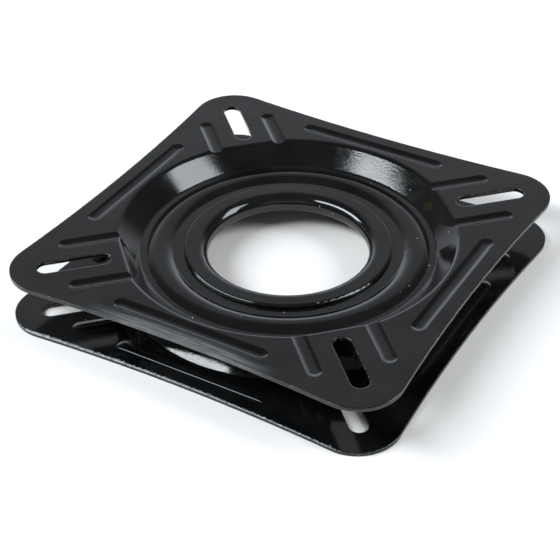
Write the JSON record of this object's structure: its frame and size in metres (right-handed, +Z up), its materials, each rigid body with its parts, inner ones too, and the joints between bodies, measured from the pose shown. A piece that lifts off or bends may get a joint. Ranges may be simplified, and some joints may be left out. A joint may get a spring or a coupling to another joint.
{
  "type": "boat seat swivel",
  "caption": "Black square seat swivel: two dished pressed-steel plates with diagonal bolt slots, turning on a caged ball race round an open centre hole with a rolled lip.",
  "frame": {"origin": "on the swivel's axis, in the plane of the lower plate's mounting face", "axes": "+Z up along the swivel's axis; X and Y run through the mounting slots, along the plates' diagonals, so the plates' sides lie at 45 degrees to X and Y"},
  "size_m": [0.2278, 0.2278, 0.023],
  "materials": {
    "black_coat": "gloss",
    "ball_steel": "polished",
    "cage_plastic": "satin"
  },
  "bodies": {
    "base": {"bottom_plate": "black_coat"},
    "top": {"top_plate": "black_coat"},
    "ball_row": {"ball_cage": "cage_plastic", "ball_01": "ball_steel", "ball_02": "ball_steel", "ball_03": "ball_steel", "ball_04": "ball_steel", "ball_05": "ball_steel", "ball_06": "ball_steel", "ball_07": "ball_steel", "ball_08": "ball_steel", "ball_09": "ball_steel", "ball_10": "ball_steel", "ball_11": "ball_steel", "ball_12": "ball_steel", "ball_13": "ball_steel", "ball_14": "ball_steel", "ball_15": "ball_steel", "ball_16": "ball_steel", "ball_17": "ball_steel", "ball_18": "ball_steel", "ball_19": "ball_steel", "ball_20": "ball_steel", "ball_21": "ball_steel", "ball_22": "ball_steel", "ball_23": "ball_steel", "ball_24": "ball_steel"}
  },
  "joints": [
    {"name": "swivel", "type": "hinge", "parent": "base", "child": "top", "pos_m": [0, 0, 0.0115], "axis": [0, 0, 1], "continuous": true},
    {"name": "ball_row_turn", "type": "hinge", "parent": "base", "child": "ball_row", "pos_m": [0, 0, 0.0115], "axis": [0, 0, 1], "continuous": true}
  ],
  "couplings": [
    {"joint": "ball_row_turn", "follows": "swivel", "ratio": 0.5}
  ]
}
